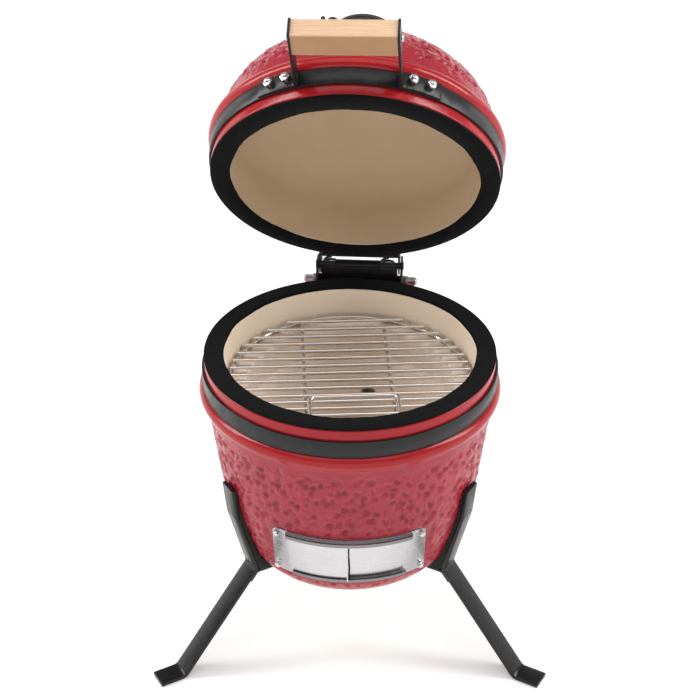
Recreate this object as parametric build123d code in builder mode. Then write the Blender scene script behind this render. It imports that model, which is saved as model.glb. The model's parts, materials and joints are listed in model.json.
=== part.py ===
from build123d import *

# Kamado ceramic grill: a glazed ceramic pot on a three-legged steel stand, with its lid open.
#
# Frame: +Z up from the floor, X along the lid's hinge, -Y to the front. Pieces are drawn about
# the pot's axis with the lid shut. The lid's pieces are then turned about the hinge to their
# open rest position, and everything moves so that the origin is under the middle of the whole.

import os
from math import asin, cos, degrees, radians, sin, sqrt

os.makedirs("parts", exist_ok=True)

# ---------------------------------------------------------------- driving dimensions (mm, degrees)
RIM = 361.3  # floor to the top of the base gasket
GAP = 0.4  # clearance between pieces that move past each other

POT_LIP_R = 155.9
POT_BEAD_R = 162.5
POT_DEPTH = 243.5  # rim to the underside of the pot
RIM_INNER_R = 135.0
GASKET_T = 3.0
LIP_H = 15.0  # rim to the edge of the steel band
BAND_H = 18.8
BAND_T = 2.8
BEAD_H = 17.0

LID_LIP_R = 153.9
LID_BEAD_R = 159.7
LID_INNER_R = 132.5
DOME_R = 150.2
DOME_H = 106.8
DOME_Z = RIM + 51.0
CERAMIC_T = 20.0
CHIMNEY_R = 24.0
NECK_R = 36.0
NECK_Z = RIM + 160.0

LID_OPEN = 58.0
HINGE_Y = 180.3
HINGE_Z = RIM + 4.35
HINGE_HALF = 50.0
PIN_R = 4.0
ROD_R = 2.5
ROD_Y = 194.0
ROD_Z = RIM - 23.0
ROD_WASHER_T = 6.0
SPRING_R = 7.6
SPRING_WIRE_R = 1.4
SPRING_X = (-35.0, 32.0)

HANDLE_CLOCK = -1.15  # the handle sits slightly off the lid's front line
HANDLE_HALF = 51.0
HANDLE_NEAR_Y = -198.9
HANDLE_DEPTH = 30.6
HANDLE_H = 20.5
BRACKET_T = 2.5

GRID_TURN = 6.5
GRID_R = 130.5
GRID_Z = RIM - 32.0
GRID_BACK = 112.6
GRID_GAPS = [17, 16, 16, 16, 15.5, 15.5, 15, 15, 15, 15, 12, 13, 13, 13, 13]
BAR_R = 2.0
RING_WIRE_R = 2.1
RING_R = 128.5
CROSS_X = (-49.5, 43.6)
BAIL_X = (-45.2, 48.0)
BAIL_REACH = 41.0

FIRE_RING_TOP = RIM - 39.0
FIRE_RING_H = 37.0
FIRE_RING_R = 128.5
FIRE_RING_INNER_R = 112.0
BOWL_TOP = FIRE_RING_TOP - FIRE_RING_H
BOWL_FLOOR = RIM - 196.0
BOWL_BOTTOM = RIM - 212.0
POT_FLOOR = RIM - 225.0
AIR_HOLE_Z = RIM - 121.5
AIR_HOLE_R = 9.0
AIR_HOLE_TURN = 81.6
GRATE_R = 73.0

DRAFT_TURN = 3.2  # the draft door sits slightly to the right of the pot's front line
DRAFT_TOP = RIM - 148.2
DRAFT_BOTTOM = RIM - 219.5
DRAFT_HALF = 81.0
DRAFT_HOLE_W = 112.0
DRAFT_HOLE_H = 48.0
DRAFT_HOLE_CORNER = 5.0
DRAFT_TOP_R = 142.1
DRAFT_BOTTOM_R = 121.9
SHEET_T = 1.2
PANEL_HALF = 64.0
PANEL_EDGE = -2.5  # where the two panels meet
BOTTOM_RAIL_Z = DRAFT_BOTTOM + 4.9

STAND_TURN = 3.4
LEG_T = 4.6
LEG_HALF = 11.5
FOOT_R = 247.4
RING_FLAT_Z = RIM - POT_DEPTH - 5.0

HINGE_AXIS = Axis((0, HINGE_Y, HINGE_Z), (1, 0, 0))
LEG_ANGLES = {"leg_left": -150 + STAND_TURN, "leg_right": -30 + STAND_TURN, "leg_rear": 90 + STAND_TURN}


# ---------------------------------------------------------------- shared helpers
def radial_plane(angle):
    """A plane through the Z axis: x runs outwards at this angle, y runs up."""
    c, s = cos(radians(angle)), sin(radians(angle))
    return Plane(origin=(0, 0, 0), x_dir=(c, s, 0), z_dir=(s, -c, 0))


def on_circle(radius, angle, z=0.0):
    return (radius * cos(radians(angle)), radius * sin(radians(angle)), z)


def outward(radius, angle, z):
    """A plane standing on the circle at this angle, facing away from the axis."""
    return Plane(origin=on_circle(radius, angle, z), z_dir=on_circle(1, angle))


def sector(inner, outer, low, high, start, sweep):
    """A curved bar of rectangular section, from the start angle over the sweep."""
    with BuildSketch(radial_plane(start)) as section:
        with Locations(((inner + outer) / 2, (low + high) / 2)):
            Rectangle(outer - inner, high - low)
    return revolve(section.sketch, axis=Axis.Z, revolution_arc=sweep)


def outline(points, plane):
    """A closed polygon face on a plane, given by its corners."""
    with BuildSketch(plane) as sketch:
        with BuildLine():
            Polyline(*points, close=True)
        make_face()
    return sketch.sketch


def cone_r(z):
    """Radius of the pot's flattened seat under the draft door, at height z."""
    share = (DRAFT_TOP - z) / (DRAFT_TOP - DRAFT_BOTTOM)
    return DRAFT_TOP_R + (DRAFT_BOTTOM_R - DRAFT_TOP_R) * share


def cone_shell(near, far, low, high, mode=Mode.ADD):
    """A piece of sheet on the draft cone, between two offsets from it, over the front."""
    corners = [(cone_r(low) + near, low), (cone_r(low) + far, low)]
    corners += [(cone_r(high) + far, high), (cone_r(high) + near, high)]
    face = outline(corners, radial_plane(DRAFT_TURN - 140))
    return revolve(face, axis=Axis.Z, revolution_arc=100, mode=mode)


def acorn_nut(plane, across=5.2, height=5.4):
    """A hexagon nut with a domed cap, standing on a plane."""
    with BuildSketch(plane) as hexagon:
        RegularPolygon(across, 6)
    extrude(hexagon.sketch, amount=height)
    with Locations(plane.offset(height)):
        Cylinder(across * 0.84, 1.4, align=(Align.CENTER, Align.CENTER, Align.MIN))
    with Locations(plane.offset(height + 1.4)):
        Sphere(across * 0.84, arc_size1=0)


DRAFT_FRONT = Plane(
    origin=(0, 0, 0),
    x_dir=(cos(radians(DRAFT_TURN)), sin(radians(DRAFT_TURN)), 0),
    z_dir=(sin(radians(DRAFT_TURN)), -cos(radians(DRAFT_TURN)), 0),
)
DRAFT_MID = (DRAFT_TOP + DRAFT_BOTTOM) / 2


# ---------------------------------------------------------------- the pot and its trim
def pot_outline():
    """Half section of the pot: lip, bead, tapering body, flat underside and inner bowl."""
    top = RIM - GASKET_T
    bead_top = RIM - LIP_H - BAND_H
    body = [(155, -51), (148.8, -101), (144.8, -133), (141.0, -158), (135.0, -183)]
    body += [(128, -206), (120, -227), (108, -POT_DEPTH)]
    inside = [(80, -225), (101, -206), (112, -183), (119, -158), (127, -110), (RIM_INNER_R - 1.5, -55)]
    with BuildSketch(Plane.XZ) as sketch:
        with BuildLine():
            Polyline((RIM_INNER_R, top), (POT_LIP_R, top), (POT_LIP_R, bead_top))
            ThreePointArc((POT_LIP_R, bead_top), (POT_BEAD_R, bead_top - BEAD_H / 2), (155, RIM - 51))
            Spline(*[(r, RIM + z) for r, z in body])
            Polyline((108, RIM - POT_DEPTH), (0, RIM - POT_DEPTH), (0, POT_FLOOR), (80, POT_FLOOR))
            Spline(*[(r, RIM + z) for r, z in inside])
            Line((RIM_INNER_R - 1.5, RIM - 55), (RIM_INNER_R, top))
        make_face()
    return sketch.sketch


with BuildPart() as pot:
    revolve(pot_outline(), axis=Axis.Z)
    cone_shell(0, 12, DRAFT_BOTTOM - 2, DRAFT_TOP + 2, mode=Mode.SUBTRACT)
    with BuildSketch(DRAFT_FRONT) as draft_hole:
        with Locations((0, DRAFT_MID)):
            RectangleRounded(DRAFT_HOLE_W, DRAFT_HOLE_H, DRAFT_HOLE_CORNER)
    extrude(draft_hole.sketch, amount=180, mode=Mode.SUBTRACT)

with BuildPart() as base_gasket:
    with BuildSketch(Plane.XY.offset(RIM - GASKET_T)):
        Circle(POT_LIP_R + 0.1)
        Circle(RIM_INNER_R, mode=Mode.SUBTRACT)
    extrude(amount=GASKET_T)

with BuildPart() as base_band:
    sector(POT_LIP_R + 0.05, POT_LIP_R + BAND_T, RIM - LIP_H - BAND_H + 0.2, RIM - LIP_H, 91, 358)

# ---------------------------------------------------------------- the fire set inside the pot
with BuildPart() as fire_ring:
    with BuildSketch(Plane.XY.offset(BOWL_TOP)):
        Circle(FIRE_RING_R)
        Circle(FIRE_RING_INNER_R, mode=Mode.SUBTRACT)
    extrude(amount=FIRE_RING_H)
    chamfer(fire_ring.faces().sort_by(Axis.Z)[-1].edges(), 1.5)

with BuildPart() as fire_bowl:
    wall = [(40, BOWL_BOTTOM), (82, BOWL_BOTTOM), (112, RIM - 130), (121, BOWL_TOP), (108, BOWL_TOP)]
    wall += [(99, RIM - 130), (76, BOWL_FLOOR), (40, BOWL_FLOOR)]
    revolve(outline(wall, Plane.XZ), axis=Axis.Z)
    with PolarLocations(61, 3, start_angle=30):
        with Locations((0, 0, POT_FLOOR)):
            Cylinder(10, BOWL_BOTTOM - POT_FLOOR, align=(Align.CENTER, Align.CENTER, Align.MIN))
    for turn in range(4):
        with Locations(outward(80, AIR_HOLE_TURN + 90 * turn, AIR_HOLE_Z)):
            Cylinder(AIR_HOLE_R, 90, mode=Mode.SUBTRACT)
    with Locations((0, -90, BOWL_BOTTOM)):
        Box(56, 60, 46, mode=Mode.SUBTRACT)

with BuildPart() as charcoal_grate:
    with BuildSketch(Plane.XY.offset(BOWL_FLOOR + GAP)):
        Circle(GRATE_R)
        with GridLocations(0, 16, 1, 7):
            SlotOverall(96, 7, mode=Mode.SUBTRACT)
    extrude(amount=6)

# ---------------------------------------------------------------- the cooking grid and its bail
BAR_Y = [GRID_BACK - sum(GRID_GAPS[:index]) for index in range(len(GRID_GAPS) + 1)]
with BuildPart() as grid_bars:
    for across in BAR_Y:
        half = sqrt(GRID_R**2 - across**2)
        with Locations(Plane(origin=(-half, across, GRID_Z), z_dir=(1, 0, 0))):
            Cylinder(BAR_R, 2 * half, align=(Align.CENTER, Align.CENTER, Align.MIN))

UNDER_Z = GRID_Z - BAR_R - RING_WIRE_R - 0.05
with BuildPart() as grid_ring:
    with Locations((0, 0, UNDER_Z)):
        Torus(RING_R, RING_WIRE_R)

with BuildPart() as grid_cross_wires:
    for x in CROSS_X:
        half = sqrt((RING_R - RING_WIRE_R) ** 2 - (abs(x) + RING_WIRE_R) ** 2) - 0.2
        with Locations(Plane(origin=(x, -half, UNDER_Z), z_dir=(0, 1, 0))):
            Cylinder(RING_WIRE_R, 2 * half, align=(Align.CENTER, Align.CENTER, Align.MIN))

BAIL_Y = BAR_Y[-2]
EYE_R = BAR_R + 0.06 + RING_WIRE_R
with BuildPart() as front_bail:
    lift = GRID_Z + EYE_R + 0.35
    corner_y = BAIL_Y + BAIL_REACH
    with BuildLine() as bail_path:
        FilletPolyline(
            (BAIL_X[0], BAIL_Y, lift),
            (BAIL_X[0], corner_y, lift),
            (BAIL_X[1], corner_y, lift),
            (BAIL_X[1], BAIL_Y, lift),
            radius=7,
        )
    with BuildSketch(Plane(origin=bail_path.line @ 0, z_dir=bail_path.line % 0)) as bail_section:
        Circle(RING_WIRE_R)
    sweep(bail_section.sketch, path=bail_path.line)
    for x in BAIL_X:
        with Locations(Plane(origin=(x, BAIL_Y, GRID_Z), z_dir=(1, 0, 0))):
            Torus(EYE_R, RING_WIRE_R)

# ---------------------------------------------------------------- the draft door
with BuildPart() as draft_frame:
    cone_shell(0.1, 0.1 + SHEET_T, DRAFT_BOTTOM, DRAFT_TOP)
    with BuildSketch(DRAFT_FRONT) as frame_shape:
        with Locations((0, DRAFT_MID)):
            RectangleRounded(2 * DRAFT_HALF, DRAFT_TOP - DRAFT_BOTTOM, 7)
            RectangleRounded(DRAFT_HOLE_W, DRAFT_HOLE_H, DRAFT_HOLE_CORNER, mode=Mode.SUBTRACT)
    extrude(frame_shape.sketch, amount=200, mode=Mode.INTERSECT)


def rail(web_low, lip_low, lip_high, half):
    """A folded guide: a web standing out from the frame, and a lip over the panels' edge."""
    cone_shell(0.1 + SHEET_T, 6.9, web_low, web_low + SHEET_T)
    cone_shell(5.7, 6.9, lip_low, lip_high)
    with BuildSketch(DRAFT_FRONT) as rail_shape:
        with Locations((0, DRAFT_MID)):
            Rectangle(2 * half, 90)
    extrude(rail_shape.sketch, amount=200, mode=Mode.INTERSECT)


with BuildPart() as draft_top_rail:
    rail(DRAFT_TOP - 3.6, DRAFT_TOP - 7.4, DRAFT_TOP - 2.4, PANEL_HALF + 3)

with BuildPart() as draft_bottom_rail:
    rail(BOTTOM_RAIL_Z, BOTTOM_RAIL_Z, BOTTOM_RAIL_Z + 4.0, PANEL_HALF - 3)

PANEL_LOW = BOTTOM_RAIL_Z + 2.0
PANEL_HIGH = DRAFT_TOP - 4.4


def panel(near, left, right):
    """A curved steel panel between the rails, from one side to the other as seen in front."""
    cone_shell(near, near + SHEET_T, PANEL_LOW, PANEL_HIGH)
    with BuildSketch(DRAFT_FRONT) as panel_shape:
        with Locations(((left + right) / 2, DRAFT_MID)):
            Rectangle(right - left, 90)
    extrude(panel_shape.sketch, amount=200, mode=Mode.INTERSECT)


with BuildPart() as draft_fixed_panel:
    panel(0.1 + SHEET_T + 0.05, PANEL_EDGE, PANEL_HALF)
    right = PANEL_HALF + 1
    slant = [(right, DRAFT_BOTTOM), (right, DRAFT_TOP - 12), (right - 13, DRAFT_BOTTOM)]
    extrude(outline(slant, DRAFT_FRONT), amount=200, mode=Mode.SUBTRACT)

with BuildPart() as draft_slider:
    panel(3.6, -PANEL_HALF, PANEL_EDGE + 1.5)
    stands = [(DRAFT_TOP - 9, 4.2), (DRAFT_MID + 6, 7), (PANEL_LOW + 5, 12), (PANEL_LOW + 3, 4.2)]
    tab = [(cone_r(z) + stand, z) for z, stand in stands]
    tab_face = outline(tab, radial_plane(DRAFT_TURN - 90 - 0.7))
    extrude(tab_face, amount=SHEET_T / 2, both=True)

with BuildPart() as draft_screws:
    for side in (-1, 1):
        for z in (DRAFT_TOP - 7.2, DRAFT_BOTTOM + 7.0):
            radius = cone_r(z) + 0.25 + SHEET_T
            angle = DRAFT_TURN - 90 + side * degrees(asin(76 / radius))
            normal = on_circle(DRAFT_TOP - DRAFT_BOTTOM, angle, DRAFT_BOTTOM_R - DRAFT_TOP_R)
            acorn_nut(Plane(origin=on_circle(radius, angle, z), z_dir=normal), across=3.7, height=2.2)

# ---------------------------------------------------------------- the stand
KNEE = (125.5, 117.5)
LEG_TOP = (149.4, 232.6)
LEG_PATH = [LEG_TOP, (147.0, 209.5), (145.5, 194.3), KNEE, (218.4, LEG_T / 2), (FOOT_R, LEG_T / 2)]

legs = {}
for name, angle in LEG_ANGLES.items():
    with BuildPart() as leg:
        with BuildSketch(radial_plane(angle)) as leg_side:
            with BuildLine():
                FilletPolyline(*LEG_PATH, radius=(20, 20, 8, 9))
            trace(line_width=LEG_T)
        extrude(leg_side.sketch, amount=LEG_HALF, both=True)
    legs[name] = leg

with BuildPart() as support_pads:
    for angle in LEG_ANGLES.values():
        pad = [(146.4, 230), (144.0, 230), (141.0, 210), (138.0, 194), (130.6, 170), (119.5, 142.5)]
        pad += [(104, 117.8), (100, 117.8), (100, 115.0), (118.8, 115.0), (122.8, 118.2), (142.8, 194.0)]
        pad += [(144.2, 209.5)]
        extrude(outline(pad, radial_plane(angle)), amount=LEG_HALF - 1, both=True)
    cavity = pot_outline()
    revolve(cavity, axis=Axis.Z, mode=Mode.SUBTRACT)

with BuildPart() as cradle_ring:
    with BuildSketch(Plane.XY.offset(RING_FLAT_Z - 2)):
        Circle(84)
        Circle(68, mode=Mode.SUBTRACT)
    extrude(amount=4)
    for angle in LEG_ANGLES.values():
        with BuildSketch(radial_plane(angle)) as tab_side:
            with BuildLine():
                FilletPolyline((78, RING_FLAT_Z), (123.4, RING_FLAT_Z), (132.4, RING_FLAT_Z - 11.1), radius=5)
            trace(line_width=4)
        extrude(tab_side.sketch, amount=9, both=True)

# ---------------------------------------------------------------- the hinge, on the pot
BAND_BACK_R = POT_LIP_R + BAND_T
with BuildPart() as hinge_base_bracket:
    sector(BAND_BACK_R + 0.05, BAND_BACK_R + 2.55, RIM - 33, RIM - 15.5, 71.5, 37)
    cheek = [(150.6, RIM - 33), (204, RIM - 33), (204, RIM - 12), (191, RIM + 12), (174, RIM + 12)]
    cheek += [(160, RIM - 3), (150.6, RIM - 15.5)]
    for side in (-1, 1):
        face = outline(cheek, Plane.YZ.offset(side * (HINGE_HALF - 1.25)))
        extrude(face, amount=1.25, both=True)
    with Locations((0, 171.5, RIM - 18.5)):
        Box(2 * HINGE_HALF - 2, 2.5, 29)
    with Locations((0, 171.5, RIM - 4)):
        Box(2 * (HINGE_HALF - 5.9), 2.5, 20)
    with BuildSketch(Plane.XY):
        Circle(BAND_BACK_R + 0.05)
    extrude(amount=RIM + 50, mode=Mode.SUBTRACT)
    with Locations(Plane(origin=(0, HINGE_Y, HINGE_Z), z_dir=(1, 0, 0))):
        Cylinder(PIN_R, 3 * HINGE_HALF, mode=Mode.SUBTRACT)
    with Locations(Plane(origin=(0, ROD_Y, ROD_Z), z_dir=(1, 0, 0))):
        Cylinder(ROD_R, 3 * HINGE_HALF, mode=Mode.SUBTRACT)

with BuildPart() as hinge_barrel:
    with Locations(Plane(origin=(-2, HINGE_Y, HINGE_Z), z_dir=(1, 0, 0))):
        Cylinder(PIN_R + 2, 52)
        Cylinder(PIN_R, 52, mode=Mode.SUBTRACT)

with BuildPart() as hinge_pin:
    with Locations(Plane(origin=(0, HINGE_Y, HINGE_Z), z_dir=(1, 0, 0))):
        Cylinder(PIN_R, 2 * HINGE_HALF + 0.2)
    for side in (-1, 1):
        with Locations(Plane(origin=(side * (HINGE_HALF + 0.1), HINGE_Y, HINGE_Z), z_dir=(side, 0, 0))):
            Cylinder(PIN_R + 1.2, 1.0, align=(Align.CENTER, Align.CENTER, Align.MIN))

with BuildPart() as spring_rod:
    with Locations(Plane(origin=(0, ROD_Y, ROD_Z), z_dir=(1, 0, 0))):
        Cylinder(ROD_R, 2 * (HINGE_HALF + ROD_WASHER_T) + 0.2)

with BuildPart() as spring_rod_nuts:
    for side in (-1, 1):
        with Locations(Plane(origin=(side * (HINGE_HALF + 0.1), ROD_Y, ROD_Z), z_dir=(side, 0, 0))):
            Cylinder(6.5, ROD_WASHER_T, align=(Align.CENTER, Align.CENTER, Align.MIN))
            Cylinder(ROD_R, ROD_WASHER_T, align=(Align.CENTER, Align.CENTER, Align.MIN), mode=Mode.SUBTRACT)
        end = side * (HINGE_HALF + ROD_WASHER_T + 0.1)
        acorn_nut(Plane(origin=(end, ROD_Y, ROD_Z), z_dir=(side, 0, 0)), across=5.8, height=7.5)

with BuildPart() as hinge_base_bolts:
    for angle in (77.5, 102.5):
        acorn_nut(outward(BAND_BACK_R + 2.6, angle, RIM - 24.5), across=4.2, height=3)

BAR_OPEN = (194.0, RIM + 9.0)  # the lid's cross-bar at the open position
springs = {}
for name, x in zip(("hinge_spring_left", "hinge_spring_right"), SPRING_X):
    with BuildPart() as spring:
        low, high = ROD_Z + ROD_R + 2.2, BAR_OPEN[1] - ROD_R - 2.2
        with BuildLine() as coil:
            Helix(pitch=3.3, height=high - low, radius=SPRING_R, center=(x, ROD_Y, low))
        with BuildSketch(Plane(origin=coil.line @ 0, z_dir=coil.line % 0)) as wire:
            Circle(SPRING_WIRE_R)
        sweep(wire.sketch, path=coil.line, is_frenet=True)
    springs[name] = spring

# ---------------------------------------------------------------- the lid, drawn closed
LID_BAND_LOW = RIM + LIP_H
LID_BAND_HIGH = LID_BAND_LOW + BAND_H


def dome_z(radius, base_r=DOME_R, height=DOME_H):
    return DOME_Z + height * sqrt(1 - (radius / base_r) ** 2)


def lid_outline():
    """Half section of the lid: lip, bead, domed top with a raised neck, and the hollow inside."""
    bottom = RIM + GAP + GASKET_T
    inner_h = DOME_H - CERAMIC_T
    outer_end = degrees(asin((dome_z(NECK_R) - DOME_Z) / DOME_H))
    inner_end = degrees(asin(sqrt(1 - (CHIMNEY_R / LID_INNER_R) ** 2)))
    inner_top = dome_z(CHIMNEY_R, LID_INNER_R, inner_h)
    with BuildSketch(Plane.XZ) as sketch:
        with BuildLine():
            Polyline((LID_INNER_R, bottom), (LID_LIP_R, bottom), (LID_LIP_R, LID_BAND_HIGH + 0.2))
            bead_end = (DOME_R, DOME_Z)
            ThreePointArc((LID_LIP_R, LID_BAND_HIGH + 0.2), (LID_BEAD_R, LID_BAND_HIGH + 8), bead_end)
            EllipticalCenterArc((0, DOME_Z), DOME_R, DOME_H, 0, arc_size=outer_end)
            Polyline((NECK_R, dome_z(NECK_R)), (NECK_R, NECK_Z), (CHIMNEY_R, NECK_Z))
            Line((CHIMNEY_R, NECK_Z), (CHIMNEY_R, inner_top))
            EllipticalCenterArc((0, DOME_Z), LID_INNER_R, inner_h, 0, arc_size=inner_end)
            Line((LID_INNER_R, DOME_Z), (LID_INNER_R, bottom))
        make_face()
    return sketch.sketch


with BuildPart() as lid_shell:
    revolve(lid_outline(), axis=Axis.Z)

with BuildPart() as lid_gasket:
    with BuildSketch(Plane.XY.offset(RIM + GAP)):
        Circle(LID_LIP_R + 0.1)
        Circle(LID_INNER_R, mode=Mode.SUBTRACT)
    extrude(amount=GASKET_T)

with BuildPart() as lid_band:
    sector(LID_LIP_R + 0.05, LID_LIP_R + BAND_T, LID_BAND_LOW, LID_BAND_HIGH, 91, 358)

LID_BAND_R = LID_LIP_R + BAND_T
LID_BAND_MID = (LID_BAND_LOW + LID_BAND_HIGH) / 2
BAR_CLOSED = (182.8, RIM + 19.0)  # the cross-bar's place when the lid is shut

with BuildPart() as hinge_lid_bracket:
    sector(LID_BAND_R + 0.05, LID_BAND_R + 2.55, LID_BAND_LOW + 0.5, LID_BAND_HIGH - 0.5, 72.5, 35)
    arm = [(149, LID_BAND_LOW + 0.5), (172, RIM - 3), (188, RIM - 3), (190, RIM + 18), (184, RIM + 27)]
    arm += [(149, LID_BAND_HIGH - 0.5)]
    for side in (-1, 1):
        face = outline(arm, Plane.YZ.offset(side * (HINGE_HALF - 4.4)))
        extrude(face, amount=1.1, both=True)
    with BuildSketch(Plane.XY):
        Circle(LID_BAND_R + 0.05)
    extrude(amount=RIM + 100, mode=Mode.SUBTRACT)
    with Locations(Plane(origin=(0, HINGE_Y, HINGE_Z), z_dir=(1, 0, 0))):
        Cylinder(PIN_R + 0.05, 3 * HINGE_HALF, mode=Mode.SUBTRACT)
    with Locations(Plane(origin=(0, *BAR_CLOSED), z_dir=(1, 0, 0))):
        Cylinder(ROD_R, 3 * HINGE_HALF, mode=Mode.SUBTRACT)

with BuildPart() as hinge_crossbar:
    with Locations(Plane(origin=(0, *BAR_CLOSED), z_dir=(1, 0, 0))):
        Cylinder(ROD_R, 2 * (HINGE_HALF - 3.1))

with BuildPart() as hinge_lid_bolts:
    for angle in (78.5, 101.5):
        acorn_nut(outward(LID_BAND_R + 2.6, angle, LID_BAND_MID), across=4.2, height=3)

# ---------------------------------------------------------------- the handle
HANDLE_LOW = LID_BAND_MID + 0.6 - HANDLE_H / 2
HANDLE_MID_Y = HANDLE_NEAR_Y - HANDLE_DEPTH / 2
with BuildPart() as handle_bar:
    with Locations((0, HANDLE_MID_Y, HANDLE_LOW + HANDLE_H / 2)):
        Box(2 * HANDLE_HALF, HANDLE_DEPTH, HANDLE_H)
    fillet(handle_bar.edges().filter_by(Axis.X), 1.6)

brackets = {}
for name, side in (("handle_bracket_left", -1), ("handle_bracket_right", 1)):
    with BuildPart() as bracket:
        start = -90 + (18.6 if side > 0 else -35.2)
        sector(LID_BAND_R + 0.05, LID_BAND_R + 2.55, LID_BAND_LOW + 0.4, LID_BAND_HIGH - 0.2, start, 16.6)
        reach = HANDLE_NEAR_Y - HANDLE_DEPTH - 2.0
        with Locations((side * (HANDLE_HALF + 0.1 + BRACKET_T / 2), (reach - 146.0) / 2, LID_BAND_MID + 0.6)):
            Box(BRACKET_T, -146.0 - reach, HANDLE_H + 1.6)
        tip = bracket.edges().filter_by(Axis.X).group_by(Axis.Y)[0]
        fillet(tip, 3)
        with BuildSketch(Plane.XY):
            Circle(LID_BAND_R + 0.05)
        extrude(amount=RIM + 100, mode=Mode.SUBTRACT)
    brackets[name] = bracket

with BuildPart() as handle_screws:
    for side in (-1, 1):
        end = side * (HANDLE_HALF + BRACKET_T + 0.2)
        head = Plane(origin=(end, HANDLE_MID_Y, LID_BAND_MID + 0.6), z_dir=(side, 0, 0))
        with BuildSketch(head):
            RegularPolygon(4.2, 6)
        extrude(amount=2.8)

with BuildPart() as bracket_nuts:
    for angle in (-29.5, -22.6, 23.3, 30.2):
        acorn_nut(outward(LID_BAND_R + 2.6, -90 + angle, LID_BAND_MID + 0.8))

# ---------------------------------------------------------------- the top vent
VENT_TOP = RIM + 193.2
VENT_R = 36.0
VENT_WALL_R = 33.0
SLEEVE_R = CHIMNEY_R - 4
PETAL_R = 7.6
PETAL_AT = 20.5
with BuildPart() as vent_base:
    steps = [(SLEEVE_R, RIM + 140), (CHIMNEY_R - 0.4, RIM + 140), (CHIMNEY_R - 0.4, NECK_Z + 0.1)]
    steps += [(37, NECK_Z + 0.1), (37, NECK_Z + 4), (VENT_WALL_R, NECK_Z + 6), (VENT_WALL_R, VENT_TOP - 5)]
    steps += [(VENT_R, VENT_TOP - 4), (VENT_R, VENT_TOP), (0, VENT_TOP), (0, VENT_TOP - 4)]
    steps += [(VENT_WALL_R - 3, VENT_TOP - 4), (VENT_WALL_R - 3, NECK_Z + 4), (SLEEVE_R, NECK_Z + 4)]
    revolve(outline(steps, Plane.XZ), axis=Axis.Z)
    with Locations((0, 0, VENT_TOP)):
        with PolarLocations(PETAL_AT, 4, start_angle=45):
            Cylinder(PETAL_R, 12, mode=Mode.SUBTRACT)
        Cylinder(3, 12, mode=Mode.SUBTRACT)

DISC_LOW = VENT_TOP + GAP
DISC_T = 4.6
TAB_TURN = -160.0
TAB_END = 52.5
with BuildPart() as vent_disc:
    with BuildSketch(Plane.XY.offset(DISC_LOW)):
        Circle(VENT_R)
        with Locations(on_circle(TAB_END - 13, TAB_TURN)):
            SlotOverall(26, 11, rotation=TAB_TURN)
        with PolarLocations(PETAL_AT, 4, start_angle=45):
            Circle(PETAL_R, mode=Mode.SUBTRACT)
        Circle(3.05, mode=Mode.SUBTRACT)
    extrude(amount=DISC_T)
    chamfer(vent_disc.faces().sort_by(Axis.Z)[-1].outer_wire().edges(), 1)

KNOB_LOW = DISC_LOW + DISC_T
with BuildPart() as vent_knob:
    for radius, reach, height in ((5.4, 37.2, 11.0), (2.6, 48.6, 9.4)):
        with Locations(on_circle(reach, TAB_TURN, KNOB_LOW)):
            Cylinder(radius, height - radius / 2, align=(Align.CENTER, Align.CENTER, Align.MIN))
        with Locations(on_circle(reach, TAB_TURN, KNOB_LOW + height - radius / 2)):
            Sphere(radius, arc_size1=0)

with BuildPart() as vent_pivot:
    with Locations((0, 0, VENT_TOP - 8)):
        Cylinder(3, 8 + GAP + DISC_T + 0.4, align=(Align.CENTER, Align.CENTER, Align.MIN))
    acorn_nut(Plane.XY.offset(DISC_LOW + DISC_T + 0.4), across=5.4, height=2.6)
    with Locations((0, 0, VENT_TOP - 4.1)):
        Cylinder(6, 3, align=(Align.CENTER, Align.CENTER, Align.MAX))

# ---------------------------------------------------------------- placing and writing
still = {
    "pot": pot,
    "base_gasket": base_gasket,
    "base_band": base_band,
    "fire_ring": fire_ring,
    "fire_bowl": fire_bowl,
    "charcoal_grate": charcoal_grate,
    "draft_frame": draft_frame,
    "draft_top_rail": draft_top_rail,
    "draft_bottom_rail": draft_bottom_rail,
    "draft_fixed_panel": draft_fixed_panel,
    "draft_slider": draft_slider,
    "draft_screws": draft_screws,
    "support_pads": support_pads,
    "cradle_ring": cradle_ring,
    "hinge_base_bracket": hinge_base_bracket,
    "hinge_barrel": hinge_barrel,
    "hinge_pin": hinge_pin,
    "spring_rod": spring_rod,
    "spring_rod_nuts": spring_rod_nuts,
    "hinge_base_bolts": hinge_base_bolts,
    **legs,
    **springs,
}
on_grid = {
    "grid_bars": grid_bars,
    "grid_ring": grid_ring,
    "grid_cross_wires": grid_cross_wires,
    "front_bail": front_bail,
}
on_lid = {
    "lid_shell": lid_shell,
    "lid_gasket": lid_gasket,
    "lid_band": lid_band,
    "hinge_lid_bracket": hinge_lid_bracket,
    "hinge_crossbar": hinge_crossbar,
    "hinge_lid_bolts": hinge_lid_bolts,
    "vent_base": vent_base,
    "vent_disc": vent_disc,
    "vent_knob": vent_knob,
    "vent_pivot": vent_pivot,
}
on_handle = {
    "handle_bar": handle_bar,
    "handle_screws": handle_screws,
    "bracket_nuts": bracket_nuts,
    **brackets,
}

placed = {name: built.part for name, built in still.items()}
placed |= {name: built.part.rotate(Axis.Z, GRID_TURN) for name, built in on_grid.items()}
placed |= {name: built.part.rotate(HINGE_AXIS, -LID_OPEN) for name, built in on_lid.items()}
for name, built in on_handle.items():
    placed[name] = built.part.rotate(Axis.Z, HANDLE_CLOCK).rotate(HINGE_AXIS, -LID_OPEN)

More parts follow.
